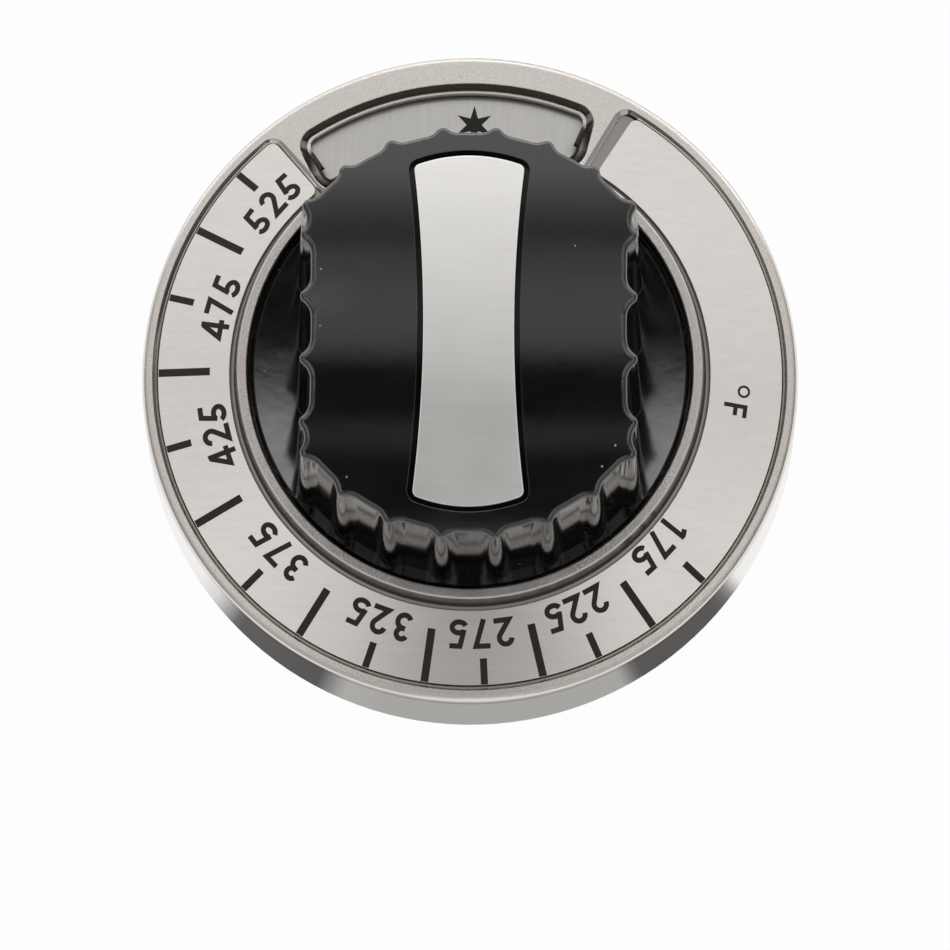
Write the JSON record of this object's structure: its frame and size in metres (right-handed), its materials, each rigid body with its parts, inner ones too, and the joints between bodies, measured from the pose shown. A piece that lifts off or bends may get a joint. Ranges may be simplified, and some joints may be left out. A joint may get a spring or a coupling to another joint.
{
  "type": "oven temperature knob",
  "caption": "Round oven dial knob with a plated skirt, a brushed scale plate, an index window and a black fluted grip with a bright inlay.",
  "frame": {"origin": "on the shaft axis, in the plane of the skirt's back edge", "axes": "+Z along the shaft axis towards the user, +Y towards the index mark and along the grip"},
  "size_m": [0.0878, 0.0878, 0.0513],
  "materials": {
    "satin_chrome": "satin chrome plate on a die casting, finely speckled",
    "brushed_plate": "brushed across, with a dark printed scale",
    "index_plate": "brushed, with a dark index mark",
    "black_moulding": "black phenolic, polished, with fine dust and scratches",
    "brushed_inlay": "finely brushed",
    "brass": "turned",
    "spring_steel": "rolled",
    "zinc_screw": "zinc plated"
  },
  "bodies": {
    "grip": {"grip_body": "black_moulding", "grip_inlay": "brushed_inlay", "shaft_insert": "brass", "shaft_spring": "spring_steel", "index_plate": "index_plate", "clamp_screw_1": "zinc_screw", "clamp_screw_2": "zinc_screw"},
    "dial": {"dial_skirt": "satin_chrome", "scale_plate": "brushed_plate"}
  },
  "joints": [
    {"name": "dial_setting", "type": "hinge", "parent": "grip", "child": "dial", "pos_m": [0, 0, 0.018], "axis": [0, 0, 1], "range_deg": [-17.6, 6.4]}
  ]
}
